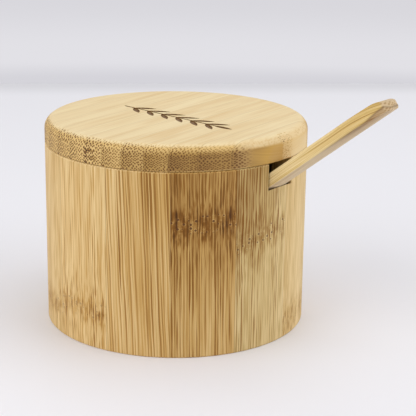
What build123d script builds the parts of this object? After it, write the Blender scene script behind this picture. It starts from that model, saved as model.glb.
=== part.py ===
# Round bamboo salt cellar: a wall of glued staves, a strip floor, a lid that swivels on a
# steel pin, and a spoon whose handle leaves through a notch in the rim.
# Millimetres, +Z up, origin at the centre of the base, +X towards the notch.

import os
from math import cos, radians, sin

from build123d import *

# Body: wall, rim and floor
outer_radius = 44.5
wall_thickness = 8.0
rim_height = 61.6
edge_break = 0.3
foot_break = 0.3
floor_thickness = 8.25
rebate_depth = 3.0
glue_gap = 0.05

# Staves round the wall
stave_count = 13
stave_angle = 360 / stave_count
first_joint_angle = -51.8

# Lid
total_height = 70.0
seam_gap = 0.15
lid_edge_radius = 3.5

# Strips that the lid and the floor are glued up from: the way their widths run, in degrees
# from +X, and the place of one joint between two strips
strip_width = 7.0
lid_strip_turn = 5.0
lid_joint_place = -4.2
floor_strip_turn = 90.0
floor_joint_place = 2.0

# Engraved sprig on the lid: a stem with pairs of leaves and one leaf at its end
sprig_length = 51.0
leaf_pairs = 6
leaf_pitch = 6.9
leaf_length = 8.4
leaf_width = 2.0
leaf_turn = 32.0
stem_stroke = 0.8
engraving_depth = 0.4
sprig_centre = (2.0, -2.4)
sprig_turn = -4.6

# Pivot pin and magnets, all on one circle in the middle of the wall
fitting_radius = 40.5
pin_radius = 2.0
pin_depth_in_rim = 11.0
pin_rise_in_lid = 5.9
pin_running_gap = 0.06
pin_end_gap = 0.3
pin_end_break = 0.4
magnet_radius = 3.0
magnet_thickness = 3.0
magnet_angle = 40.0

# Spoon notch in the rim
notch_width = 12.2
notch_floor_height = 53.3
spoon_slope = 37.4

# Spoon, along its handle from the place where its belly crosses the outer wall
handle_width = 11.5
handle_side = 3.7
handle_crown = 0.7
handle_reach = 52.3
handle_tip_length = 17.0
nose_length = 5.6
nose_drop = 2.5
nose_under_length = 2.4
nose_under_rise = 1.3
notch_floor_gap = 0.2
shoulder_place = -18.0
neck_place = -43.0
neck_width = 8.0
bowl_place = -63.8
bowl_half_length = 15.6
bowl_half_width = 9.2
bowl_depth = 6.2
bowl_wall = 1.5

# Worked out from the driving dimensions
inner_radius = outer_radius - wall_thickness
lid_underside = rim_height + seam_gap
lid_thickness = total_height - lid_underside
pin_centre = (-fitting_radius, 0)
pin_bottom = rim_height - pin_depth_in_rim
pin_top = lid_underside + pin_rise_in_lid
floor_radius = inner_radius + rebate_depth - glue_gap
stem_length = sprig_length - leaf_length
handle_thickness = handle_side + handle_crown
slope_run = cos(radians(spoon_slope))
slope_rise = sin(radians(spoon_slope))

# The notch's floor: x runs up along the handle, z stands square to it, and the origin is
# where it meets the outer wall. The spoon's belly and its flat top lie above it.
notch_plane = Plane(
    origin=(outer_radius, 0, notch_floor_height),
    x_dir=(slope_run, 0, slope_rise),
    z_dir=(-slope_rise, 0, slope_run),
)
belly_plane = notch_plane.offset(notch_floor_gap)
top_plane = belly_plane.offset(handle_thickness)


def save(name, piece):
    # Label a finished piece and write it as a STEP file of its own
    piece.label = name
    export_step(piece, f"parts/{name}.step")


def circle_point(angle):
    # A point on the circle of the pin and the magnets
    return (fitting_radius * cos(radians(angle)), fitting_radius * sin(radians(angle)))


def round_edges(part):
    # A turned part's circular edges, lowest first
    return part.edges().filter_by(GeomType.CIRCLE).group_by(Axis.Z)


magnet_places = [circle_point(magnet_angle), circle_point(-magnet_angle)]

# One engraved leaf, pointed at both ends, along +X from its base
with BuildSketch() as leaf:
    with BuildLine():
        ThreePointArc((0, 0), (leaf_length / 2, leaf_width / 2), (leaf_length, 0))
        ThreePointArc((leaf_length, 0), (leaf_length / 2, -leaf_width / 2), (0, 0))
    make_face()

# Each leaf's base, on the stem from its foot, and its turn
leaf_places = [Location((stem_length, 0, 0))]
for index in range(leaf_pairs):
    leaf_base = (stem_length - (index + 0.5) * leaf_pitch, 0, 0)
    leaf_places += [Location(leaf_base, (0, 0, leaf_turn)), Location(leaf_base, (0, 0, -leaf_turn))]

# The whole wall, before it is cut into staves
with BuildPart() as wall:
    with BuildSketch():
        Circle(outer_radius)
        Circle(inner_radius, mode=Mode.SUBTRACT)
    extrude(amount=rim_height)
    # rebate for the floor
    with BuildSketch():
        Circle(inner_radius + rebate_depth)
    extrude(amount=floor_thickness, mode=Mode.SUBTRACT)
    chamfer(round_edges(wall)[-1], edge_break)
    chamfer(round_edges(wall)[0].sort_by(SortBy.RADIUS)[-1], foot_break)
    # notch for the spoon
    with BuildSketch(notch_plane):
        Rectangle(outer_radius, notch_width)
    extrude(amount=outer_radius, mode=Mode.SUBTRACT)
    notch_corners = wall.edges().filter_by(Axis.Z).filter_by_position(Axis.Z, notch_floor_height, rim_height)
    chamfer(notch_corners.group_by(Axis.X)[-1], edge_break)
    # hole for the pin
    with BuildSketch(Plane.XY.offset(rim_height)):
        with Locations(pin_centre):
            Circle(pin_radius)
    extrude(amount=-pin_depth_in_rim, mode=Mode.SUBTRACT)
    # pockets for the magnets
    with BuildSketch(Plane.XY.offset(rim_height)):
        with Locations(*magnet_places):
            Circle(magnet_radius + glue_gap)
    extrude(amount=-magnet_thickness, mode=Mode.SUBTRACT)

# The whole lid, before it is cut into strips
with BuildPart() as lid:
    with BuildSketch(Plane.XY.offset(lid_underside)):
        Circle(outer_radius)
    extrude(amount=lid_thickness)
    fillet(round_edges(lid)[-1], lid_edge_radius)
    chamfer(round_edges(lid)[0], edge_break)
    # running hole for the pin, blind from below
    with BuildSketch(Plane.XY.offset(lid_underside)):
        with Locations(pin_centre):
            Circle(pin_radius + pin_running_gap)
    extrude(amount=pin_rise_in_lid + pin_end_gap, mode=Mode.SUBTRACT)
    # pockets for the magnets
    with BuildSketch(Plane.XY.offset(lid_underside)):
        with Locations(*magnet_places):
            Circle(magnet_radius + glue_gap)
    extrude(amount=magnet_thickness, mode=Mode.SUBTRACT)
    # engraved sprig
    sprig_plane = Plane(
        origin=(*sprig_centre, total_height),
        x_dir=(cos(radians(sprig_turn)), sin(radians(sprig_turn)), 0),
        z_dir=(0, 0, 1),
    ).move(Location((-sprig_length / 2, 0, 0)))
    with BuildSketch(sprig_plane):
        # the stem runs just into the leaf at its end
        Rectangle(stem_length + leaf_width / 2, stem_stroke, align=(Align.MIN, Align.CENTER))
        with Locations(*leaf_places):
            add(leaf.sketch)
    extrude(amount=-engraving_depth, mode=Mode.SUBTRACT)

# The floor, before it is cut into strips
with BuildPart() as floor:
    with BuildSketch():
        Circle(floor_radius)
    extrude(amount=floor_thickness)

os.makedirs("parts", exist_ok=True)

for index in range(stave_count):
    start = first_joint_angle + index * stave_angle
    with BuildPart() as stave:
        add(wall.part)
        with BuildSketch():
            with BuildLine():
                near_side = PolarLine((0, 0), 2 * outer_radius, start)
                far_side = PolarLine((0, 0), 2 * outer_radius, start + stave_angle)
                Line(near_side @ 1, far_side @ 1)
            make_face()
        extrude(amount=rim_height, mode=Mode.INTERSECT)
    save(f"stave_{index + 1:02d}", stave.part)


def cut_into_strips(whole, prefix, bottom, thickness, radius, turn, joint_place):
    # Cut a glued-up disc along its joints, and save each strip
    steps = range(-int(radius / strip_width) - 1, int(radius / strip_width) + 2)
    joints = [joint_place + step * strip_width for step in steps]
    joints = [place for place in joints if abs(place) < radius]
    edges = [-radius, *joints, radius]
    across = Plane(
        origin=(0, 0, bottom),
        x_dir=(cos(radians(turn)), sin(radians(turn)), 0),
        z_dir=(0, 0, 1),
    )
    for index, (low, high) in enumerate(zip(edges, edges[1:])):
        with BuildPart() as strip:
            add(whole)
            with BuildSketch(across):
                with Locations(((low + high) / 2, 0)):
                    Rectangle(high - low, 2 * radius)
            extrude(amount=thickness, mode=Mode.INTERSECT)
        save(f"{prefix}_{index + 1:02d}", strip.part)


cut_into_strips(
    lid.part, "lid_strip", lid_underside, lid_thickness, outer_radius, lid_strip_turn, lid_joint_place
)
cut_into_strips(
    floor.part, "floor_strip", 0, floor_thickness, floor_radius, floor_strip_turn, floor_joint_place
)

with BuildPart() as pivot_pin:
    with BuildSketch(Plane.XY.offset(pin_bottom)):
        with Locations(pin_centre):
            Circle(pin_radius)
    extrude(amount=pin_top - pin_bottom)
    chamfer(pivot_pin.edges().filter_by(GeomType.CIRCLE), pin_end_break)
save("pivot_pin", pivot_pin.part)

for side, place in zip(("left", "right"), magnet_places):
    with BuildPart() as rim_magnet:
        with BuildSketch(Plane.XY.offset(rim_height - magnet_thickness)):
            with Locations(place):
                Circle(magnet_radius)
        extrude(amount=magnet_thickness)
    save(f"rim_magnet_{side}", rim_magnet.part)

    with BuildPart() as lid_magnet:
        with BuildSketch(Plane.XY.offset(lid_underside)):
            with Locations(place):
                Circle(magnet_radius)
        extrude(amount=magnet_thickness)
    save(f"lid_magnet_{side}", lid_magnet.part)


def bowl_body(half_length, half_width, depth):
    # A round body whose axis lies above the spoon's flat top, along the spoon. Below that
    # top it is as long, as wide and as deep as given.
    axis_height = (half_width**2 - depth**2) / (2 * depth)
    side_plane = Plane(
        origin=top_plane.from_local_coords((bowl_place, 0, 0)),
        x_dir=top_plane.x_dir,
        z_dir=-top_plane.y_dir,
    )
    with BuildPart() as body:
        with BuildSketch(side_plane):
            with BuildLine():
                ThreePointArc((-half_length, 0), (0, -depth), (half_length, 0))
                Polyline(
                    (half_length, 0),
                    (half_length, axis_height),
                    (-half_length, axis_height),
                    (-half_length, 0),
                )
            make_face()
        axis_start = side_plane.from_local_coords((0, axis_height, 0))
        revolve(axis=Axis(axis_start, side_plane.x_dir))
    return body.part


bowl_outside = bowl_body(bowl_half_length, bowl_half_width, bowl_depth)
bowl_hollow = bowl_body(bowl_half_length - bowl_wall, bowl_half_width - bowl_wall, bowl_depth - bowl_wall)

with BuildPart() as spoon:
    # handle and neck in plan: a rounded tip, straight sides, and a neck that runs into the bowl
    with BuildSketch(belly_plane):
        with BuildLine():
            tip_start = (handle_reach - handle_tip_length, handle_width / 2)
            shoulder = (shoulder_place, handle_width / 2)
            neck = (neck_place, neck_width / 2)
            EllipticalCenterArc(
                (handle_reach - handle_tip_length, 0), handle_tip_length, handle_width / 2, 0, arc_size=90
            )
            Line(tip_start, shoulder)
            Spline(shoulder, neck, tangents=((-1, 0), (-1, 0)))
            Polyline(neck, (bowl_place, neck_width / 2), (bowl_place, 0))
            mirror(about=Plane.XZ)
        make_face()
    extrude(amount=handle_thickness)
    # the belly's crown, as the handle's cross-section all the way along
    section_plane = Plane(
        origin=belly_plane.from_local_coords((bowl_place, 0, 0)),
        x_dir=belly_plane.y_dir,
        z_dir=belly_plane.x_dir,
    )
    with BuildSketch(section_plane):
        with BuildLine():
            ThreePointArc((-handle_width / 2, handle_crown), (0, 0), (handle_width / 2, handle_crown))
            Polyline(
                (handle_width / 2, handle_crown),
                (handle_width / 2, handle_thickness),
                (-handle_width / 2, handle_thickness),
                (-handle_width / 2, handle_crown),
            )
        make_face()
    extrude(amount=handle_reach - bowl_place, mode=Mode.INTERSECT)
    # the nose: over the last stretch the top runs down to the tip along an arc, and the
    # belly runs up to it along a shorter one
    nose_plane = Plane(
        origin=belly_plane.from_local_coords((handle_reach, 0, 0)),
        x_dir=belly_plane.x_dir,
        z_dir=-belly_plane.y_dir,
    )
    with BuildSketch(nose_plane):
        with BuildLine():
            top_end = (0, handle_thickness - nose_drop)
            top_start = (-nose_length, handle_thickness)
            TangentArc(top_start, top_end, tangent=(1, 0))
            Polyline(top_end, (0, handle_thickness), top_start)
        make_face()
        with BuildLine():
            belly_end = (0, nose_under_rise)
            belly_start = (-nose_under_length, 0)
            TangentArc(belly_start, belly_end, tangent=(1, 0))
            Polyline(belly_end, (0, 0), belly_start)
        make_face()
    extrude(amount=handle_width / 2, both=True, mode=Mode.SUBTRACT)
    # bowl
    add(bowl_outside)
    split(bisect_by=top_plane, keep=Keep.BOTTOM)
    add(bowl_hollow, mode=Mode.SUBTRACT)
save("spoon", spoon.part)
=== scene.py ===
# Bamboo salt cellar with a swivel lid and a spoon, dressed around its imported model
from math import cos, hypot, pi, radians, sin

import bmesh
import bpy
from mathutils import Matrix, Vector

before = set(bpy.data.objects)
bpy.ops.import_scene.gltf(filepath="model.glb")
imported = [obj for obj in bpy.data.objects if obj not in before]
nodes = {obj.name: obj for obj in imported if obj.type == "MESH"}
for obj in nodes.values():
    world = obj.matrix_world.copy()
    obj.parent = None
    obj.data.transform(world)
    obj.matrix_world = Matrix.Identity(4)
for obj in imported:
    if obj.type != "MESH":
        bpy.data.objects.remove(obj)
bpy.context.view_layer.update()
print("frame loaded:", len(nodes), "pieces")


def addObject(name, data):
    thing = bpy.data.objects.new(name, data)
    bpy.context.scene.collection.objects.link(thing)
    return thing


# Camera, at the photograph's viewing angle
cameraSetup = {
    "azimuth": 40.4,        # degrees round from -Y towards +X
    "elevation": 16.42,
    "distance": 0.4482,     # metres to the point looked at
    "height": 0.03731,      # of the point looked at
    "pan": 1.48,            # small turns that centre the photograph's frame
    "roll": 0.78,
    "lens": 112.05,
    "nearest": 0.01,
}


def addCamera(setup):
    azimuth = radians(setup["azimuth"])
    elevation = radians(setup["elevation"])
    away = setup["distance"] * cos(elevation)
    height = setup["height"] + setup["distance"] * sin(elevation)
    place = Vector((away * sin(azimuth), -away * cos(azimuth), height))
    data = bpy.data.cameras.new("camera")
    data.lens = setup["lens"]
    data.clip_start = setup["nearest"]
    camera = addObject("camera", data)
    heading = Matrix.Rotation(azimuth - radians(setup["pan"]), 4, "Z")
    tilt = Matrix.Rotation(pi / 2 - elevation, 4, "X")
    roll = Matrix.Rotation(radians(setup["roll"]), 4, "Z")
    camera.matrix_world = Matrix.Translation(place) @ heading @ tilt @ roll
    bpy.context.scene.camera = camera


addCamera(cameraSetup)
print("camera set")


# Small helpers for material nodes: a value may be a number or another node's output
def feed(tree, socket, value):
    if isinstance(value, bpy.types.NodeSocket):
        tree.links.new(value, socket)
    elif value is not None:
        socket.default_value = value


def addMath(tree, operation, first, second=None, third=None, clamp=False):
    node = tree.nodes.new("ShaderNodeMath")
    node.operation = operation
    node.use_clamp = clamp
    for socket, value in zip(node.inputs, (first, second, third)):
        feed(tree, socket, value)
    return node.outputs[0]


def plus(tree, first, second):
    return addMath(tree, "ADD", first, second)


def minus(tree, first, second, clamp=False):
    return addMath(tree, "SUBTRACT", first, second, clamp=clamp)


def times(tree, first, second, clamp=False):
    return addMath(tree, "MULTIPLY", first, second, clamp=clamp)


def timesPlus(tree, first, second, third, clamp=False):
    return addMath(tree, "MULTIPLY_ADD", first, second, third, clamp)


def absolute(tree, value):
    return addMath(tree, "ABSOLUTE", value)


def addRange(tree, value, low, high, toLow=0.0, toHigh=1.0):
    node = tree.nodes.new("ShaderNodeMapRange")
    node.interpolation_type = "SMOOTHSTEP"
    for name, given in (
        ("Value", value), ("From Min", low), ("From Max", high), ("To Min", toLow), ("To Max", toHigh)
    ):
        feed(tree, node.inputs[name], given)
    return node.outputs["Result"]


def addMix(tree, factor, first, second, blend="MIX"):
    # a mix node's colours are its sockets 6 and 7 in and 2 out
    node = tree.nodes.new("ShaderNodeMix")
    node.data_type = "RGBA"
    node.blend_type = blend
    feed(tree, node.inputs[0], factor)
    feed(tree, node.inputs[6], first)
    feed(tree, node.inputs[7], second)
    return node.outputs[2]


def addCombine(tree, x, y, z):
    node = tree.nodes.new("ShaderNodeCombineXYZ")
    for socket, value in zip(node.inputs, (x, y, z)):
        feed(tree, socket, value)
    return node.outputs[0]


def addSplit(tree, vector):
    node = tree.nodes.new("ShaderNodeSeparateXYZ")
    feed(tree, node.inputs[0], vector)
    return node.outputs


def addMapping(tree, vector, scale=1.0, rotation=(0.0, 0.0, 0.0), place=(0.0, 0.0, 0.0)):
    node = tree.nodes.new("ShaderNodeMapping")
    node.inputs["Scale"].default_value = (scale, scale, scale)
    node.inputs["Rotation"].default_value = rotation
    node.inputs["Location"].default_value = place
    feed(tree, node.inputs["Vector"], vector)
    return node.outputs["Vector"]


def addNoise(tree, vector, detail=2.0, roughness=0.5):
    node = tree.nodes.new("ShaderNodeTexNoise")
    node.inputs["Scale"].default_value = 1.0
    node.inputs["Detail"].default_value = detail
    node.inputs["Roughness"].default_value = roughness
    feed(tree, node.inputs["Vector"], vector)
    return node.outputs["Fac"]


def addCells(tree, x, y, randomness=1.0):
    node = tree.nodes.new("ShaderNodeTexVoronoi")
    node.voronoi_dimensions = "2D"
    node.inputs["Scale"].default_value = 1.0
    node.inputs["Randomness"].default_value = randomness
    feed(tree, node.inputs["Vector"], addCombine(tree, x, y, 0.0))
    return node.outputs


def addChance(tree, x, y, more, least):
    node = tree.nodes.new("ShaderNodeTexWhiteNoise")
    node.noise_dimensions = "2D"
    feed(tree, node.inputs["Vector"], addCombine(tree, x, y, 0.0))
    return timesPlus(tree, node.outputs["Value"], more, least)


# Bamboo, in millimetres: u and w run across the fibres and v along them. Long faces show
# lines that swell and thin along the fibres, and cut ends show the same bundles as dots
bambooSetup = {
    # sizes of the patterns, across and along the fibres
    "wander": (4.0, 20.0),
    "fine": (0.35, 22.0),
    "broad": (3.6, 36.0),
    "ragged": (0.8, 6.0),
    "patchy": (1.4, 2.6),
    "nodeDot": (1.9, 1.7),
    # lines
    "slant": 1.7,           # of their planes, so that no long face lies along one
    "wanderBy": 0.7,        # millimetres
    "wanderMore": 1.4,      # added to that beside a node
    "lineHalf": 0.32,       # at their thickest, in pitches
    "thinHalf": 0.40,
    "lineEdge": 0.08,
    "thinCount": 2.1,       # thin lines to each strong one
    "thinShare": 0.5,
    "lineKey": 4.0,         # two numbers that keep the chances of both kinds apart
    "thinKey": 9.0,
    "swell": (0.33, 0.68),  # of the noise, from no line to its thickest
    "lineStep": 7.31,       # in the noise, from one line to the next
    "shift": (0.44, 0.28),  # the most that chance adds, and the least
    "depth": (0.7, 0.6),
    # from nothing to all, of the fine and the broad pattern
    "fineSpread": (0.36, 0.64),
    "fineRoughness": 0.6,
    "broadSpread": (0.34, 0.66),
    # cut ends
    "diagonal": 0.7071,
    "bendSize": 3.0,
    "bendBy": 1.8,
    "endRandomness": 0.4,
    "endDot": (0.44, 0.18),
    # a node
    "flameReach": (24.0, 1.0),      # from long strokes to short ones beside it
    "flameLength": 7.0,
    "flameContrast": 0.8,
    "bandEdge": (6.2, 0.7),
    "raggedBy": 20.0,
    "patches": (0.25, 1.15),
    "streaks": 0.6,
    "tintBy": 1.6,
    "dotBand": (3.4, 2.4),
    "dotChance": (0.2, 0.9),
    "dotSize": (0.05, 0.26),
    "dotEdge": (0.03, -0.05),
    "rimEdge": (0.20, 0.04),
    "rimPale": -0.26,
    "dotColor": (0.10, 0.034, 0.010, 1.0),
    "stainTint": (0.84, 0.74, 0.52, 1.0),
    # finish
    "darkest": (0.36, 0.34, 0.36, 1.0),     # times brown, where lines and stains lie on each other
    "glueColor": (0.14, 0.075, 0.03, 1.0),
    "glueShare": 0.4,
    "roughness": 0.52,
    "specular": 0.2,
    "bump": 0.00008,        # metres
    "bumpStrength": 0.6,
    "sunk": -0.5,
}
bambooInputs = (
    "U", "W", "V", "Pitch", "Stroke", "Contrast", "Fine", "Broad", "End", "EndPitch", "EndContrast",
    "EndBase", "Shade", "Node", "NodeDots", "NodeStain", "Seam", "Seed",
)
noNode = {"Node": 900.0, "NodeDots": 0.0, "NodeStain": 0.0}     # for a piece that shows no node
noiseMiddle = 0.5       # what noise wavers about
millimetres = 1000.0    # to the metre


def makeBambooGroup(setup):
    group = bpy.data.node_groups.new("bambooFibres", "ShaderNodeTree")
    for name in bambooInputs:
        group.interface.new_socket(name=name, in_out="INPUT", socket_type="NodeSocketFloat")
    for name in ("Pale", "Golden", "Brown"):
        group.interface.new_socket(name=name, in_out="INPUT", socket_type="NodeSocketColor")
    group.interface.new_socket(name="Color", in_out="OUTPUT", socket_type="NodeSocketColor")
    group.interface.new_socket(name="Height", in_out="OUTPUT", socket_type="NodeSocketFloat")
    given = group.nodes.new("NodeGroupInput").outputs
    result = group.nodes.new("NodeGroupOutput").inputs

    def over(value, size):
        return addMath(group, "DIVIDE", value, size)

    def addFibres(across, name, roughness=0.5):
        size = setup[name]
        place = addCombine(group, over(across, size[0]), given["Seed"], over(given["V"], size[1]))
        return addNoise(group, place, roughness=roughness)

    # the fibres wander a little, and more beside a node
    awayFromNode = absolute(group, minus(group, given["V"], given["Node"]))
    nearNode = addRange(group, awayFromNode, *setup["flameReach"])
    slanted = timesPlus(group, given["W"], setup["slant"], given["U"])
    wander = minus(group, addFibres(slanted, "wander"), noiseMiddle)
    wanderBy = timesPlus(group, nearNode, setup["wanderMore"], setup["wanderBy"])
    across = timesPlus(group, wander, wanderBy, slanted)

    # one line to a pitch, off its middle by chance, short beside a node and long elsewhere
    def addLines(pitch, thickest, key):
        columns = over(across, pitch)
        number = addMath(group, "FLOOR", columns)
        line = timesPlus(group, number, setup["lineStep"], given["Seed"])
        shift = addChance(group, number, key, *setup["shift"])
        depth = addChance(group, number, key + 1.0, *setup["depth"])
        fromMiddle = minus(group, addMath(group, "FRACT", columns), shift)
        swells = []
        for length in (given["Stroke"], setup["flameLength"]):
            place = addCombine(group, line, over(given["V"], length), key)
            swells.append(addNoise(group, place, detail=1.0))
        swell = timesPlus(group, minus(group, swells[1], swells[0]), nearNode, swells[0])
        half = addRange(group, swell, *setup["swell"], 0.0, thickest)
        edge = minus(group, half, absolute(group, fromMiddle))
        return times(group, addRange(group, edge, -setup["lineEdge"], setup["lineEdge"]), depth)

    stroke = addLines(given["Pitch"], setup["lineHalf"], setup["lineKey"])
    thin = addLines(over(given["Pitch"], setup["thinCount"]), setup["thinHalf"], setup["thinKey"])

    # rows of dots on the cut ends, at 45 degrees to the faces and gently bent
    bendPlace = [over(given[name], setup["bendSize"]) for name in ("U", "W")]
    bend = addNoise(group, addCombine(group, *bendPlace, given["Seed"]), detail=0.0)
    endRows = []
    for first, second in ((given["U"], given["W"]), (given["W"], times(group, given["U"], -1.0))):
        row = timesPlus(group, bend, setup["bendBy"], plus(group, first, second))
        endRows.append(over(times(group, row, setup["diagonal"]), given["EndPitch"]))
    endCells = addCells(group, *endRows, setup["endRandomness"])
    endDot = addRange(group, endCells["Distance"], *setup["endDot"])

    # how brown the surface is, from 0, pale, to 1, brown
    fine = addFibres(across, "fine", setup["fineRoughness"])
    broad = addFibres(across, "broad")
    lines = times(group, stroke, given["Contrast"])
    lines = timesPlus(group, thin, times(group, given["Contrast"], setup["thinShare"]), lines)
    strongerBy = times(group, nearNode, given["NodeStain"])
    lines = times(group, lines, timesPlus(group, strongerBy, setup["flameContrast"], 1.0))
    lines = timesPlus(group, addRange(group, fine, *setup["fineSpread"]), given["Fine"], lines)
    longFace = minus(group, 1.0, given["End"])
    brown = timesPlus(group, lines, longFace, given["Shade"])
    broadBy = times(group, given["Broad"], longFace)
    brown = timesPlus(group, addRange(group, broad, *setup["broadSpread"]), broadBy, brown)
    endShare = timesPlus(group, endDot, given["EndContrast"], given["EndBase"])
    brown = timesPlus(group, endShare, given["End"], brown)

    # a node's band: a streaky stain with ragged edges, and dark dots in pale rims
    ragged = minus(group, addFibres(across, "ragged"), noiseMiddle)
    raggedGap = timesPlus(group, ragged, setup["raggedBy"], awayFromNode)
    band = addRange(group, raggedGap, *setup["bandEdge"])
    patches = addRange(group, addFibres(across, "patchy"), *setup["broadSpread"], *setup["patches"])
    streaks = timesPlus(group, stroke, setup["streaks"], patches)
    stain = times(group, times(group, band, streaks), given["NodeStain"])
    brown = plus(group, brown, stain)
    dotCells = addCells(group, over(given["U"], setup["nodeDot"][0]), over(given["V"], setup["nodeDot"][1]))
    dotBand = times(group, addRange(group, awayFromNode, *setup["dotBand"]), given["NodeDots"])
    chance = group.nodes.new("ShaderNodeSeparateColor")
    feed(group, chance.inputs[0], dotCells["Color"])
    dotSize = addRange(group, chance.outputs[0], *setup["dotChance"], *setup["dotSize"])
    dotGap = minus(group, dotCells["Distance"], dotSize)
    rims = times(group, addRange(group, dotGap, *setup["rimEdge"]), dotBand)
    brown = timesPlus(group, rims, setup["rimPale"], brown)

    # colour: pale to golden to brown, and darker still above 1
    golden = times(group, brown, 2.0, clamp=True)
    color = addMix(group, golden, given["Pale"], given["Golden"])
    browner = timesPlus(group, brown, 2.0, -1.0, clamp=True)
    color = addMix(group, browner, color, given["Brown"])
    darkest = addMix(group, 1.0, given["Brown"], setup["darkest"], "MULTIPLY")
    color = addMix(group, minus(group, brown, 1.0, clamp=True), color, darkest)
    tinted = times(group, stain, setup["tintBy"], clamp=True)
    color = addMix(group, tinted, color, setup["stainTint"], "MULTIPLY")
    dots = times(group, addRange(group, dotGap, *setup["dotEdge"]), dotBand)
    color = addMix(group, dots, color, setup["dotColor"])
    color = addMix(group, times(group, given["Seam"], setup["glueShare"]), color, setup["glueColor"])
    feed(group, result["Color"], color)

    # lines and dots lie a little deeper than the rest
    height = times(group, timesPlus(group, stroke, setup["sunk"], fine), longFace)
    height = timesPlus(group, times(group, endDot, given["End"]), setup["sunk"], height)
    feed(group, result["Height"], height)
    return group


bambooGroup = makeBambooGroup(bambooSetup)


def fibreAxes(tree, rotation, place=(0.0, 0.0, 0.0)):
    # the piece's own coordinates, turned and in millimetres, and its own surface direction
    coordinates = tree.nodes.new("ShaderNodeTexCoord").outputs
    where = addMapping(tree, coordinates["Object"], millimetres, rotation, place)
    facing = addMapping(tree, coordinates["Normal"], 1.0, rotation)
    return addSplit(tree, where), addSplit(tree, facing)


def startMaterial(name):
    material = bpy.data.materials.new(name)
    material.use_nodes = True
    return material, material.node_tree, material.node_tree.nodes["Principled BSDF"]


def addBamboo(tree, shader, look):
    node = tree.nodes.new("ShaderNodeGroup")
    node.node_tree = bambooGroup
    for name, value in look.items():
        feed(tree, node.inputs[name], value)
    tree.links.new(node.outputs["Color"], shader.inputs["Base Color"])
    shader.inputs["Roughness"].default_value = bambooSetup["roughness"]
    shader.inputs["Specular IOR Level"].default_value = bambooSetup["specular"]
    bump = tree.nodes.new("ShaderNodeBump")
    bump.inputs["Distance"].default_value = bambooSetup["bump"]
    bump.inputs["Strength"].default_value = bambooSetup["bumpStrength"]
    tree.links.new(node.outputs["Height"], bump.inputs["Height"])
    tree.links.new(bump.outputs["Normal"], shader.inputs["Normal"])
    return node


def assign(node, material):
    nodes[node].data.materials.clear()
    nodes[node].data.materials.append(material)


# Wall staves: one row each, from the joint below zero degrees round to the left
staveSetup = {
    "firstJoint": -51.8,    # degrees
    "outside": 44.5,        # millimetres
    "pitch": 1.0,
    "fine": 0.16,
    "endSlope": (0.5, 0.9),         # how level a face is before it shows cut fibres
    "endPitch": 0.8,
    "endContrast": 0.8,
    "endBase": 0.10,
    "seamWidth": 0.16,
    "paintedRimHighlight": (61.0, 61.4),     # painted highlight: the rim's top edge is painted paler above this height, where the lit rim shows under the lid
    "paintedRimHighlightBy": -0.2,
    "fadeFrom": -2.0,       # millimetres from a stave's middle, where its shade starts to fade
    "seedStep": 3.7,
    "firstSeed": 1.3,
    "pale": (0.79, 0.585, 0.29, 1.0),
    "paleGrey": (0.775, 0.608, 0.328, 1.0),
    "golden": (0.545, 0.318, 0.092, 1.0),
    "goldenGrey": (0.52, 0.362, 0.138, 1.0),
    "brown": (0.25, 0.106, 0.015, 1.0),
}
staveLooks = (
    # node height and slope, dots, stain, stroke length, contrast, broad, lean of the fibres, grey,
    # base shade, shade above: low, high, amount, and how far all of it fades to the right (or left, below 0)
    (44.8, 0.03, 0.9, 0.36, 24.0, 0.46, 0.10, 0.01, 0.2, 0.19, 10.0, 48.0, 0.32, 0.0),
    (38.4, 0.19, 0.7, 0.17, 14.0, 0.40, 0.12, 0.00, 1.0, 0.10, 22.0, 44.0, 0.30, 1.0),
    (6.0, 0.10, 0.2, 0.25, 14.0, 0.24, 0.12, 0.00, 0.6, -0.02, 0.0, 60.0, 0.04, 0.0),
    (52.0, -0.10, 0.6, 0.30, 30.0, 0.42, 0.14, 0.02, 0.3, 0.0, 0.0, 60.0, 0.0, 0.0),
    (21.0, 0.12, 0.9, 0.30, 36.0, 0.46, 0.14, -0.01, 0.0, 0.06, 0.0, 60.0, 0.10, 0.0),
    (33.0, 0.05, 0.5, 0.20, 20.0, 0.36, 0.16, 0.00, 0.6, 0.0, 0.0, 60.0, 0.0, 0.0),
    (55.0, -0.06, 0.8, 0.35, 30.0, 0.44, 0.12, 0.03, 0.0, 0.06, 20.0, 50.0, 0.15, 0.0),
    (12.0, 0.08, 0.7, 0.30, 40.0, 0.46, 0.12, 0.00, 0.4, 0.04, 0.0, 60.0, 0.0, 0.0),
    (40.0, -0.12, 1.0, 0.35, 24.0, 0.42, 0.12, 0.01, 0.0, 0.0, 0.0, 60.0, 0.0, 0.0),
    (27.0, 0.04, 0.5, 0.25, 18.0, 0.38, 0.16, -0.02, 0.5, 0.0, 0.0, 60.0, 0.0, 0.0),
    (9.5, 0.06, 0.3, 0.25, 14.0, 0.26, 0.12, 0.00, 0.2, 0.0, 0.0, 60.0, 0.04, 0.0),
    (12.6, 0.0, 0.35, 0.22, 20.0, 0.40, 0.10, 0.01, 0.0, -0.03, 0.0, 60.0, 0.0, 0.0),
    (90.0, 0.0, 0.0, 0.00, 44.0, 0.48, 0.10, 0.04, 0.0, 0.09, 26.0, 56.0, 0.10, -1.0),
)


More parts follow.
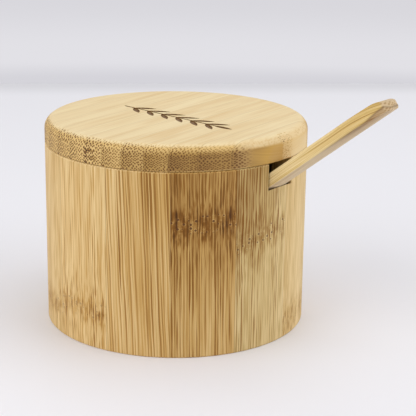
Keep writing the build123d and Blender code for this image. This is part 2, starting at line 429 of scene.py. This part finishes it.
def staveMaterial(index, setup, row):
    node, slope, dots, stain, stroke, contrast, broad, lean, grey = row[:9]
    base, shadeLow, shadeHigh, shadeBy, fade = row[9:]
    material, tree, shader = startMaterial(f"bambooStave{index + 1:02d}")
    middle = radians(setup["firstJoint"] + (index + 0.5) * 360 / len(staveLooks))
    place, face = fibreAxes(tree, (0.0, 0.0, -middle))
    u = times(tree, addMath(tree, "ARCTAN2", place[1], place[0]), setup["outside"])
    squares = timesPlus(tree, place[0], place[0], times(tree, place[1], place[1]))
    halfWidth = pi / len(staveLooks) * setup["outside"]
    seamGap = minus(tree, halfWidth, absolute(tree, u))
    shade = addRange(tree, place[2], shadeLow, shadeHigh, base, base + shadeBy)
    if fade:
        side = 1 if fade > 0 else -1
        faded = addRange(tree, u, setup["fadeFrom"] * side, halfWidth * side, 1.0, 1.0 - abs(fade))
        shade = times(tree, shade, faded)
    # painted highlight: the wall is painted paler along the rim's top edge
    shade = plus(tree, shade, addRange(tree, place[2], *setup["paintedRimHighlight"], 0.0, setup["paintedRimHighlightBy"]))
    addBamboo(tree, shader, {
        "U": timesPlus(tree, place[2], lean, u),
        "W": addMath(tree, "SQRT", squares),
        "V": place[2],
        "Pitch": setup["pitch"],
        "Stroke": stroke,
        "Contrast": contrast,
        "Fine": setup["fine"],
        "Broad": broad,
        "End": addRange(tree, absolute(tree, face[2]), *setup["endSlope"]),
        "EndPitch": setup["endPitch"],
        "EndContrast": setup["endContrast"],
        "EndBase": setup["endBase"],
        "Shade": shade,
        "Node": timesPlus(tree, u, slope, node),
        "NodeDots": dots,
        "NodeStain": stain,
        "Seam": addRange(tree, seamGap, setup["seamWidth"], 0.0),
        "Seed": setup["seedStep"] * index + setup["firstSeed"],
        "Pale": addMix(tree, grey, setup["pale"], setup["paleGrey"]),
        "Golden": addMix(tree, grey, setup["golden"], setup["goldenGrey"]),
        "Brown": setup["brown"],
    })
    return material


for index, row in enumerate(staveLooks):
    assign(f"stave_{index + 1:02d}", staveMaterial(index, staveSetup, row))
print("staves dressed")


# Lid and floor strips; a tuple as long as the count has one value for each strip
lidSetup = {
    "turn": 5.0,            # degrees, the way the widths run
    "firstJoint": -39.2,    # millimetres
    "stripWidth": 7.0,
    "bottom": 61.75,
    "count": 13,
    "pitch": 1.6,
    "endPitch": (0.8, 0.8, 0.8, 0.86, 0.84, 0.80, 0.84, 0.74, 0.72, 0.66, 0.64, 0.62, 0.64),
    "pale": (0.825, 0.68, 0.41, 1.0),
    "paleEnd": (0.70, 0.48, 0.19, 1.0),
    "golden": (0.71, 0.51, 0.25, 1.0),
    "goldenEnd": (0.42, 0.25, 0.07, 1.0),
    "brown": (0.17, 0.075, 0.022, 1.0),
    "tone": (0.0, -0.05, 0.08, 0.0, 0.05, -0.06, 0.06, -0.02, 0.08, 0.0, 0.05, -0.05, 0.0),
    "endTone": (0.0, 0.05, 0.0, 0.12, 0.05, 0.08, -0.12, 0.14, 0.22, 0.40, 0.55, 0.64, 0.56),
    "endSpeck": (1.0, 1.1, 0.9, 1.0, 1.2, 1.2, 1.25, 0.9, 1.0, 0.8, 0.65, 0.55, 0.55),
    "blotches": (0.0, 0.0, 0.4, 0.0, 0.0, 0.0, 0.9, 0.0, 0.0, 0.0, 0.0, 0.0, 0.0),
}
floorSetup = {
    "turn": 90.0,
    "firstJoint": -33.0,
    "stripWidth": 7.0,
    "bottom": 0.0,
    "count": 12,
    "pitch": 1.6,
    "endPitch": (0.7,) * 12,
    "pale": (0.74, 0.58, 0.31, 1.0),
    "paleEnd": (0.66, 0.46, 0.20, 1.0),
    "golden": (0.60, 0.42, 0.18, 1.0),
    "goldenEnd": (0.44, 0.28, 0.09, 1.0),
    "brown": (0.24, 0.115, 0.03, 1.0),
    "tone": (0.04, 0.0, 0.07, 0.02, 0.05, 0.0, 0.06, 0.02, 0.04, 0.01, 0.05, 0.02),
    "endTone": (0.0,) * 12,
    "endSpeck": (0.6,) * 12,
    "blotches": (0.0,) * 12,
}
# what both kinds of strip share
stripSetup = {
    "stroke": 45.0,
    "contrast": 0.08,
    "fine": 0.11,
    "broad": 0.24,
    "seamWidth": 0.2,
    "seam": 0.55,
    "endSlope": (0.10, 0.40),       # how far a face turns to the strip's end before it shows cut fibres
    "toneSlope": (1.0, 0.68),       # and from level to upright, before it takes the cut ends' colours
    "baseSlope": (0.75, 0.05),
    "darkSide": 0.8,                # of the width, over which a cut end darkens
    "darkBase": 0.13,
    "darkSpeck": (0.4, 0.8),        # how much stronger its dots get there, and the least
    "toneSpeck": (0.45, 0.55),
    "blobStretch": 0.30,
    "blobSeed": 6.0,
    "blobSpread": (0.47, 0.56),
    "blobPlace": (5.5, 1.0),        # across the strip, in millimetres
    "blobLeast": 0.25,
    "seedStep": 5.3,
    "firstSeed": 0.7,
}


def stripMaterial(name, index, setup):
    shared = stripSetup
    onLid = setup is lidSetup
    material, tree, shader = startMaterial(f"{name}{index + 1:02d}")
    width = setup["stripWidth"]
    low = setup["firstJoint"] + (index - 1) * width
    place, face = fibreAxes(tree, (0.0, 0.0, radians(-setup["turn"])), (-low, 0.0, -setup["bottom"]))
    level = absolute(tree, face[2])
    end = addRange(tree, absolute(tree, face[1]), *shared["endSlope"])
    endTone = addRange(tree, level, *shared["toneSlope"])
    dark = addRange(tree, place[0], width * shared["darkSide"], 0.0)
    endBase = timesPlus(tree, dark, shared["darkBase"], setup["endTone"][index])
    if setup["blotches"][index]:
        endBase = timesPlus(tree, addBlotches(tree, place, shared), setup["blotches"][index], endBase)
    endSpeck = times(tree, timesPlus(tree, dark, *shared["darkSpeck"]), setup["endSpeck"][index])
    endSpeck = times(tree, timesPlus(tree, endTone, *shared["toneSpeck"]), endSpeck)
    shade = setup["tone"][index]
    golden = setup["golden"]
    onTop = 1.0
    if onLid and index == setup["count"] - 1:
        end, shade, golden, onTop = addOuterSide(tree, place, face, shade, golden, outerSideSetup)
    gap = addMath(tree, "MINIMUM", place[0], minus(tree, width, place[0]))
    endColor = times(tree, end, endTone)
    bamboo = addBamboo(tree, shader, {
        "U": place[0],
        "W": place[2],
        "V": place[1],
        "Pitch": setup["pitch"],
        "Stroke": shared["stroke"],
        "Contrast": times(tree, onTop, shared["contrast"]),
        "Fine": times(tree, onTop, shared["fine"]),
        "Broad": times(tree, onTop, shared["broad"]),
        "End": end,
        "EndPitch": setup["endPitch"][index],
        "EndContrast": endSpeck,
        "EndBase": times(tree, endBase, addRange(tree, level, *shared["baseSlope"])),
        "Shade": shade,
        **noNode,
        "Seam": addRange(tree, gap, shared["seamWidth"], 0.0, 0.0, shared["seam"]),
        "Seed": shared["seedStep"] * index + shared["firstSeed"],
        "Pale": addMix(tree, endColor, setup["pale"], setup["paleEnd"]),
        "Golden": addMix(tree, endColor, golden, setup["goldenEnd"]),
        "Brown": setup["brown"],
    })
    if onLid:
        addBurnt(tree, shader, place, bamboo.outputs["Color"], burntSetup)
    return material


def addBlotches(tree, place, setup):
    # dark blobs one above the other along a strip's dark side
    blobPlace = addCombine(tree, times(tree, place[0], setup["blobStretch"]), place[2], setup["blobSeed"])
    blobs = addRange(tree, addNoise(tree, blobPlace, detail=1.0), *setup["blobSpread"])
    return times(tree, blobs, addRange(tree, place[0], *setup["blobPlace"], setup["blobLeast"], 1.0))


# The last lid strip's outer face: golden up to a ragged line, pale and torn beyond it. The
# places are millimetres along the strip, and the slopes go from level, 1, to upright, 0
outerSideSetup = {
    "golden": (0.62, 0.385, 0.11, 1.0),
    "upright": (0.5, 0.2),
    "turn": (-3.35, -3.85),         # where golden turns pale
    "raggedScale": (0.5, 2.6),      # along and up
    "raggedBy": 3.4,
    "goldenPlace": (-6.0, -17.0),
    "goldenBy": (0.24, 0.50),
    "tornPlace": (3.0, 0.0),
    "tornEnd": (-5.0, -3.6),
    "tornScale": (0.9, 3.4),
    "tornSeed": 3.0,
    "tornSpread": (0.53, 0.64),
    "tornBy": 0.45,
    "speckScale": (1.5, 1.1),       # small dark specks on the rounded edge
    "speckSpread": (0.48, 0.62),
    "speckSlope": (0.2, 0.5),
    "speckBy": 0.20,
    "edgePlace": (-8.0, -2.0),
    "edgeBy": (0.12, 0.18),
    "roundSlope": (0.0, 0.4),
    "roundBy": 0.12,
    "offTop": (1.0, 0.75),
    "cutPlace": (15.0, 24.0),       # to either side, where the cut fibres start
    "cutSlope": (0.98, 0.85),
    "topSlope": (0.8, 0.99),
    "sideLines": 0.25,              # share of the top's lines that the side shows
}


def addOuterSide(tree, place, face, shade, golden, setup):
    offTop = addRange(tree, absolute(tree, face[2]), *setup["cutSlope"])
    end = times(tree, addRange(tree, absolute(tree, place[1]), *setup["cutPlace"]), offTop)
    side = minus(tree, 1.0, end)
    upright = addRange(tree, face[2], *setup["upright"])
    along, up = setup["raggedScale"]
    raggedPlace = addCombine(tree, times(tree, place[1], along), 0.0, times(tree, place[2], up))
    ragged = minus(tree, addNoise(tree, raggedPlace), noiseMiddle)
    turned = addRange(tree, timesPlus(tree, ragged, setup["raggedBy"], place[1]), *setup["turn"])
    goldenBy = addRange(tree, place[1], *setup["goldenPlace"], *setup["goldenBy"])
    goldenBy = times(tree, times(tree, turned, goldenBy), upright)
    along, up = setup["tornScale"]
    slanted = timesPlus(tree, place[1], along, place[2])
    tornPlace = addCombine(tree, slanted, setup["tornSeed"], times(tree, place[2], up))
    torn = addRange(tree, addNoise(tree, tornPlace, detail=1.0), *setup["tornSpread"])
    tornStart = addRange(tree, place[1], *setup["tornPlace"])
    tornHere = times(tree, tornStart, addRange(tree, place[1], *setup["tornEnd"]))
    tornBy = times(tree, times(tree, torn, tornHere), setup["tornBy"])
    across, along = setup["speckScale"]
    speckPlace = addCombine(tree, times(tree, place[0], across), times(tree, place[1], along), place[2])
    specks = addRange(tree, addNoise(tree, speckPlace, detail=1.0), *setup["speckSpread"])
    specks = times(tree, specks, addRange(tree, face[2], *setup["speckSlope"]))
    edgeBy = addRange(tree, place[1], *setup["edgePlace"], *setup["edgeBy"])
    edgeBy = timesPlus(tree, specks, setup["speckBy"], edgeBy)
    edgeBy = plus(tree, edgeBy, addRange(tree, face[2], *setup["roundSlope"], 0.0, setup["roundBy"]))
    edgeBy = times(tree, addRange(tree, face[2], *setup["offTop"]), edgeBy)
    sideShade = plus(tree, addMath(tree, "MAXIMUM", goldenBy, tornBy), edgeBy)
    shade = timesPlus(tree, side, sideShade, shade)
    golden = addMix(tree, times(tree, side, upright), golden, setup["golden"])
    onTop = addRange(tree, face[2], *setup["topSlope"], setup["sideLines"], 1.0)
    return end, shade, golden, onTop


# The engraving on the lid is burnt brown below the top face
burntSetup = {
    "color": (0.19, 0.100, 0.034, 1.0),
    "top": 70.0,            # millimetres, the lid's top face
    "thickness": 8.25,
    "depth": (0.02, 0.12),
    "reach": 36.0,          # the engraving lies inside this radius
    "lowest": 7.25,         # and above this height from the lid's underside
}


def addBurnt(tree, shader, place, color, setup):
    coordinates = tree.nodes.new("ShaderNodeTexCoord")
    fromMiddle = tree.nodes.new("ShaderNodeVectorMath")
    fromMiddle.operation = "LENGTH"
    tree.links.new(coordinates.outputs["Object"], fromMiddle.inputs[0])
    reach = hypot(setup["reach"], setup["top"]) / millimetres
    inside = addMath(tree, "LESS_THAN", fromMiddle.outputs["Value"], reach)
    above = addMath(tree, "GREATER_THAN", place[2], setup["lowest"])
    burnt = addRange(tree, minus(tree, setup["thickness"], place[2]), *setup["depth"])
    burnt = times(tree, times(tree, burnt, inside), above)
    tree.links.new(addMix(tree, burnt, color, setup["color"]), shader.inputs["Base Color"])


for index in range(lidSetup["count"]):
    assign(f"lid_strip_{index + 1:02d}", stripMaterial("bambooLid", index, lidSetup))

for index in range(floorSetup["count"]):
    assign(f"floor_strip_{index + 1:02d}", stripMaterial("bambooFloor", index, floorSetup))
print("lid and floor dressed")


# Spoon: the places are millimetres along the handle
spoonSetup = {
    "slope": 37.4,
    "pale": (0.89, 0.73, 0.42, 1.0),
    "paleTop": (0.82, 0.67, 0.40, 1.0),
    # painted shade: the underside's colours are greyer, paler copies of the side's, standing in for the
    # shade under the handle and the table's cool light bounced up onto it
    "paleUnderShaded": (0.72, 0.59, 0.39, 1.0),
    "paleEnd": (0.70, 0.54, 0.33, 1.0),
    "golden": (0.64, 0.43, 0.135, 1.0),
    "goldenTop": (0.60, 0.42, 0.17, 1.0),
    "goldenUnderShaded": (0.50, 0.35, 0.19, 1.0),
    "brown": (0.27, 0.13, 0.03, 1.0),
    "pitch": 1.3,
    "stroke": 70.0,
    "contrast": 0.28,
    "flatContrast": -0.14,          # less on the top and the underside
    "fine": 0.20,
    "broad": 0.14,
    "endSlope": (0.5, 0.75),
    "endPitch": 0.72,
    "endContrast": 0.45,
    "endBase": -0.06,
    "darkening": (73.0, 120.0),     # where the handle slowly darkens
    "darkeningBy": 0.24,
    "underLess": -0.18,
    "cutTip": (116.7, 117.7),       # where the speckled cut end starts
    "edgeHeight": 16.2,             # of the dark edge between the side and the underside
    "edgeRise": 1.2,                # how much higher it runs just before the tip
    "rising": (109.0, 117.4),
    "falling": (119.5, 117.4),
    "edgeWidth": 0.55,
    "edgePlace": (80.0, 105.0),     # where it comes in
    "edgeBy": 1.2,
    "underEdge": (0.08, -0.08),
    "underSlope": 0.1,
    "topSlope": (0.55, 0.85),
    "underPlace": (90.0, 114.0),    # where the underside darkens towards that edge
    "underBy": (0.05, 1.0),
    "underAcross": (-5.75, 2.5),
    "underShade": 0.5,
    "seed": 2.1,
}


def spoonMaterial(setup):
    material, tree, shader = startMaterial("bambooSpoon")
    place, face = fibreAxes(tree, (0.0, radians(setup["slope"]), 0.0))
    end = addRange(tree, absolute(tree, face[0]), *setup["endSlope"])
    end = addMath(tree, "MAXIMUM", end, addRange(tree, place[0], *setup["cutTip"]))
    rising = addRange(tree, place[0], *setup["rising"])
    rising = times(tree, rising, addRange(tree, place[0], *setup["falling"]))
    overEdge = minus(tree, place[2], timesPlus(tree, rising, setup["edgeRise"], setup["edgeHeight"]))
    facesDown = addMath(tree, "LESS_THAN", face[2], setup["underSlope"])
    # painted shade: below the edge line the underside takes those shaded copies of the colours
    under = times(tree, addRange(tree, overEdge, *setup["underEdge"]), facesDown)
    top = addRange(tree, face[2], *setup["topSlope"])
    pale = addMix(tree, top, setup["pale"], setup["paleTop"])
    pale = addMix(tree, under, pale, setup["paleUnderShaded"])
    golden = addMix(tree, top, setup["golden"], setup["goldenTop"])
    golden = addMix(tree, under, golden, setup["goldenUnderShaded"])
    flat = addMath(tree, "MAXIMUM", top, under)
    # the side and the underside both darken towards the edge between them
    edgeBy = addRange(tree, place[0], *setup["edgePlace"], 0.0, setup["edgeBy"])
    edgeLine = times(tree, addRange(tree, absolute(tree, overEdge), setup["edgeWidth"], 0.0), edgeBy)
    underShade = addRange(tree, place[1], *setup["underAcross"], setup["underShade"], 0.0)
    underBy = addRange(tree, place[0], *setup["underPlace"], *setup["underBy"])
    underShade = times(tree, underBy, times(tree, underShade, under))
    darkeningBy = timesPlus(tree, under, setup["underLess"], setup["darkeningBy"])
    darkening = times(tree, addRange(tree, place[0], *setup["darkening"]), darkeningBy)
    addBamboo(tree, shader, {
        "U": place[1],
        "W": place[2],
        "V": place[0],
        "Pitch": setup["pitch"],
        "Stroke": setup["stroke"],
        "Contrast": timesPlus(tree, flat, setup["flatContrast"], setup["contrast"]),
        "Fine": setup["fine"],
        "Broad": setup["broad"],
        "End": end,
        "EndPitch": setup["endPitch"],
        "EndContrast": setup["endContrast"],
        "EndBase": setup["endBase"],
        "Shade": plus(tree, darkening, underShade),
        **noNode,
        "Seam": edgeLine,
        "Seed": setup["seed"],
        "Pale": addMix(tree, end, pale, setup["paleEnd"]),
        "Golden": addMix(tree, end, golden, setup["goldenUnderShaded"]),
        "Brown": setup["brown"],
    })
    return material


assign("spoon", spoonMaterial(spoonSetup))


# Pin and magnets
metalSetup = {
    "scratches": (9000.0, 9000.0, 400.0),   # to the metre, long ones along the axis
    "spread": (0.3, 0.7),
    "smoother": 0.06,
    "rougher": 0.08,
    "drawnSteel": ((0.60, 0.60, 0.59, 1.0), 0.28),
    "nickelPlate": ((0.50, 0.485, 0.45, 1.0), 0.34),
}


def metalMaterial(name, setup):
    color, roughness = setup[name]
    material, tree, shader = startMaterial(name)
    coordinates = tree.nodes.new("ShaderNodeTexCoord")
    stretch = tree.nodes.new("ShaderNodeMapping")
    stretch.inputs["Scale"].default_value = setup["scratches"]
    tree.links.new(coordinates.outputs["Object"], stretch.inputs["Vector"])
    scratches = addNoise(tree, stretch.outputs["Vector"])
    least, most = roughness - setup["smoother"], roughness + setup["rougher"]
    scratched = addRange(tree, scratches, *setup["spread"], least, most)
    tree.links.new(scratched, shader.inputs["Roughness"])
    shader.inputs["Base Color"].default_value = color
    shader.inputs["Metallic"].default_value = 1.0
    return material


assign("pivot_pin", metalMaterial("drawnSteel", metalSetup))
magnetMaterial = metalMaterial("nickelPlate", metalSetup)
for node in ("rim_magnet_left", "rim_magnet_right", "lid_magnet_left", "lid_magnet_right"):
    assign(node, magnetMaterial)
print("spoon, pin and magnets dressed")


# Table, backdrop and light
stageSetup = {
    "behind": 0.4185,       # how far the table reaches behind the object
    "ahead": 3.0,
    "side": 3.0,
    "turn": 2.6,            # degrees, so that the far edge is level in the picture
    "fade": 0.045,          # painted shade: the table darkens softly towards that edge
    "roughness": 0.6,
    "table": (0.835, 0.83, 0.872, 1.0),
    "tableEdge": (0.70, 0.695, 0.73, 1.0),
    "backdropLow": (0.665, 0.658, 0.70, 1.0),
    "backdrop": (0.76, 0.752, 0.79, 1.0),
    "backdropHigh": (0.69, 0.682, 0.72, 1.0),
    "lowTurn": (-0.187, -0.172),    # rise of the line of sight, where one shade turns to the next
    "highTurn": (-0.165, -0.125),
    "worldColor": (1.0, 1.0, 1.0, 1.0),
    "worldStrength": 0.46,
}


def addTable(setup):
    mesh = bpy.data.meshes.new("table")
    shape = bmesh.new()
    corners = [(-setup["side"], -setup["ahead"]), (setup["side"], -setup["ahead"]),
               (setup["side"], setup["behind"]), (-setup["side"], setup["behind"])]
    shape.faces.new([shape.verts.new((x, y, 0.0)) for x, y in corners])
    turn = radians(cameraSetup["azimuth"] + setup["turn"])
    bmesh.ops.rotate(shape, verts=shape.verts, cent=(0, 0, 0), matrix=Matrix.Rotation(turn, 3, "Z"))
    shape.to_mesh(mesh)
    shape.free()
    table = addObject("table", mesh)
    material, tree, shader = startMaterial("paleTable")
    coordinates = tree.nodes.new("ShaderNodeTexCoord")
    turned = addMapping(tree, coordinates.outputs["Object"], rotation=(0.0, 0.0, -turn))
    along = addSplit(tree, turned)[1]
    # painted shade: the table's colour darkens towards its far edge
    faded = addRange(tree, along, setup["behind"] - setup["fade"], setup["behind"])
    tree.links.new(addMix(tree, faded, setup["table"], setup["tableEdge"]), shader.inputs["Base Color"])
    shader.inputs["Roughness"].default_value = setup["roughness"]
    mesh.materials.append(material)


def addWorld(setup):
    world = bpy.data.worlds.new("room")
    bpy.context.scene.world = world
    world.use_nodes = True
    tree = world.node_tree
    background = tree.nodes["Background"]
    background.inputs["Color"].default_value = setup["worldColor"]
    background.inputs["Strength"].default_value = setup["worldStrength"]
    # the backdrop that is seen, with its shade painted in: darkest along the table's far edge, pale above,
    # darker again higher up
    direction = tree.nodes.new("ShaderNodeTexCoord")
    rise = addSplit(tree, direction.outputs["Generated"])[2]
    low = addMix(tree, addRange(tree, rise, *setup["lowTurn"]), setup["backdropLow"], setup["backdrop"])
    shade = addMix(tree, addRange(tree, rise, *setup["highTurn"]), low, setup["backdropHigh"])
    seen = tree.nodes.new("ShaderNodeBackground")
    tree.links.new(shade, seen.inputs["Color"])
    rays = tree.nodes.new("ShaderNodeLightPath").outputs
    anySeen = addMath(tree, "MAXIMUM", rays["Is Camera Ray"], rays["Is Glossy Ray"])
    anySeen = addMath(tree, "MAXIMUM", anySeen, rays["Is Transmission Ray"])
    mix = tree.nodes.new("ShaderNodeMixShader")
    tree.links.new(anySeen, mix.inputs[0])
    tree.links.new(background.outputs[0], mix.inputs[1])
    tree.links.new(seen.outputs[0], mix.inputs[2])
    tree.links.new(mix.outputs[0], tree.nodes["World Output"].inputs["Surface"])


lampSetup = {
    # degrees round from the camera, height in degrees, distance, size, watts
    "lampLeft": (-60.0, 27.0, 1.2, 1.2, 7.6),
    "lampRight": (72.0, 27.0, 1.2, 1.2, 6.8),
    "lampTop": (150.0, 80.0, 1.3, 1.2, 5.4),
}


def addLamps(lamps):
    for name, (around, high, far, size, power) in lamps.items():
        turn = radians(cameraSetup["azimuth"] + around)
        high = radians(high)
        direction = Vector((sin(turn) * cos(high), -cos(turn) * cos(high), sin(high)))
        data = bpy.data.lights.new(name, "AREA")
        data.size = size
        data.energy = power
        lamp = addObject(name, data)
        facing = direction.to_track_quat("Z", "Y").to_matrix().to_4x4()
        lamp.matrix_world = Matrix.Translation(direction * far) @ facing


addTable(stageSetup)
addWorld(stageSetup)
addLamps(lampSetup)
bpy.context.scene.view_settings.view_transform = "Standard"
print("stage and lamps set")
